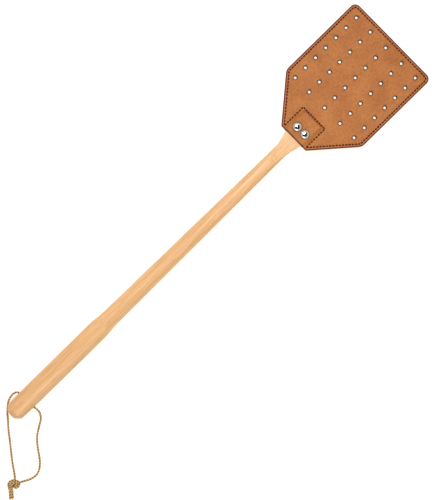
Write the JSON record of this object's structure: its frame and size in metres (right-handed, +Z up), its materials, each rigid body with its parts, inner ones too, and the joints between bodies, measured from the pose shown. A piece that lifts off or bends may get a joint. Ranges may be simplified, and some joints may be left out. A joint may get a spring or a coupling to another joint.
{
  "type": "fly swatter",
  "caption": "Wooden-handled fly swatter with a flexible perforated leather blade, sewn and riveted, and a cord loop to hang it by.",
  "frame": {"origin": "under the middle of the length, on the surface that the grip lies on", "axes": "+X from the grip to the blade along the handle, +Y across the blade, +Z up from the surface, out of the front sheet"},
  "size_m": [0.5812, 0.1137, 0.0205],
  "materials": {
    "handle_wood": "turned beech, fine sanded, clear satin",
    "leather": "vegetable-tanned tan leather, smooth grain",
    "thread": "waxed dark brown polyester thread",
    "rivet_nickel": "nickel-plated, polished",
    "jute": "natural twisted jute, waxed"
  },
  "bodies": {
    "handle": {"handle": "handle_wood", "front_sheet_neck": "leather", "back_sheet_neck": "leather", "front_thread_neck": "thread", "back_thread_neck": "thread", "rivet_cap_left": "rivet_nickel", "rivet_cap_right": "rivet_nickel", "rivet_post_left": "rivet_nickel", "rivet_post_right": "rivet_nickel", "cord_loop": "jute", "cord_knot": "jute", "cord_tails": "jute"},
    "blade_1": {"front_sheet_1": "leather", "back_sheet_1": "leather", "front_thread_1": "thread", "back_thread_1": "thread"},
    "blade_2": {"front_sheet_2": "leather", "back_sheet_2": "leather", "front_thread_2": "thread", "back_thread_2": "thread"},
    "blade_3": {"front_sheet_3": "leather", "back_sheet_3": "leather", "front_thread_3": "thread", "back_thread_3": "thread"},
    "blade_4": {"front_sheet_4": "leather", "back_sheet_4": "leather", "front_thread_4": "thread", "back_thread_4": "thread"},
    "blade_5": {"front_sheet_5": "leather", "back_sheet_5": "leather", "front_thread_5": "thread", "back_thread_5": "thread"},
    "blade_6": {"front_sheet_6": "leather", "back_sheet_6": "leather", "front_thread_6": "thread", "back_thread_6": "thread"},
    "blade_7": {"front_sheet_7": "leather", "back_sheet_7": "leather", "front_thread_7": "thread", "back_thread_7": "thread"}
  },
  "joints": [
    {"name": "flex_1", "type": "hinge", "parent": "handle", "child": "blade_1", "pos_m": [0.16005, 0, 0.01025], "axis": [0, -1, 0], "range_deg": [-24, 24], "stiffness_Nm_per_rad": 0.4},
    {"name": "flex_2", "type": "hinge", "parent": "blade_1", "child": "blade_2", "pos_m": [0.17395, 0, 0.01025], "axis": [0, -1, 0], "range_deg": [-24, 24], "stiffness_Nm_per_rad": 0.4},
    {"name": "flex_3", "type": "hinge", "parent": "blade_2", "child": "blade_3", "pos_m": [0.18785, 0, 0.01025], "axis": [0, -1, 0], "range_deg": [-24, 24], "stiffness_Nm_per_rad": 0.4},
    {"name": "flex_4", "type": "hinge", "parent": "blade_3", "child": "blade_4", "pos_m": [0.20175, 0, 0.01025], "axis": [0, -1, 0], "range_deg": [-24, 24], "stiffness_Nm_per_rad": 0.4},
    {"name": "flex_5", "type": "hinge", "parent": "blade_4", "child": "blade_5", "pos_m": [0.21565, 0, 0.01025], "axis": [0, -1, 0], "range_deg": [-24, 24], "stiffness_Nm_per_rad": 0.4},
    {"name": "flex_6", "type": "hinge", "parent": "blade_5", "child": "blade_6", "pos_m": [0.22955, 0, 0.01025], "axis": [0, -1, 0], "range_deg": [-24, 24], "stiffness_Nm_per_rad": 0.4},
    {"name": "flex_7", "type": "hinge", "parent": "blade_6", "child": "blade_7", "pos_m": [0.24345, 0, 0.01025], "axis": [0, -1, 0], "range_deg": [-24, 24], "stiffness_Nm_per_rad": 0.4}
  ],
  "couplings": [
    {"joint": "flex_2", "follows": "flex_1", "ratio": 1},
    {"joint": "flex_3", "follows": "flex_1", "ratio": 1},
    {"joint": "flex_4", "follows": "flex_1", "ratio": 1},
    {"joint": "flex_5", "follows": "flex_1", "ratio": 1},
    {"joint": "flex_6", "follows": "flex_1", "ratio": 1},
    {"joint": "flex_7", "follows": "flex_1", "ratio": 1}
  ]
}
